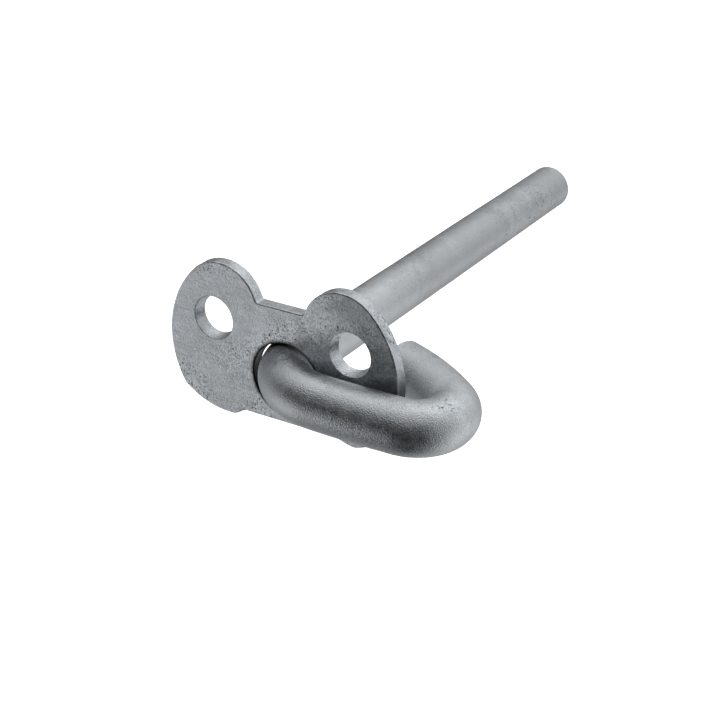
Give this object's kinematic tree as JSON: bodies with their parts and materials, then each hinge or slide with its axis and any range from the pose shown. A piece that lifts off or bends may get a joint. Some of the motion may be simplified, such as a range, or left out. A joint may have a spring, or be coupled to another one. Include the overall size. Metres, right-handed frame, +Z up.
{
  "type": "roof anchor",
  "caption": "Roof anchor of round galvanised bar: a straight shank ends in a bent open eye, which turns in a loose eared plate with screw holes.",
  "frame": {"origin": "on the fixing plate's back face, midway between the two screw holes", "axes": "+Y from the plate's front face to its back and on along the bar's shank, +X from the shank towards the eye's outer bend, +Z up, square to the line of the screw holes"},
  "size_m": [0.1014, 0.201, 0.0479],
  "materials": {
    "plate_zinc": "hot-dip galvanised, matt mid grey with fine mottling",
    "bar_zinc": "hot-dip galvanised, matt light grey with a fine sandy grain"
  },
  "bodies": {
    "fixing_plate": {"fixing_plate": "plate_zinc"},
    "eye_bar": {"eye_bar": "bar_zinc"}
  },
  "joints": [
    {"name": "swivel", "type": "hinge", "parent": "fixing_plate", "child": "eye_bar", "pos_m": [0.0017, -0.002, -0.0134], "axis": [0, 1, 0], "continuous": true}
  ]
}
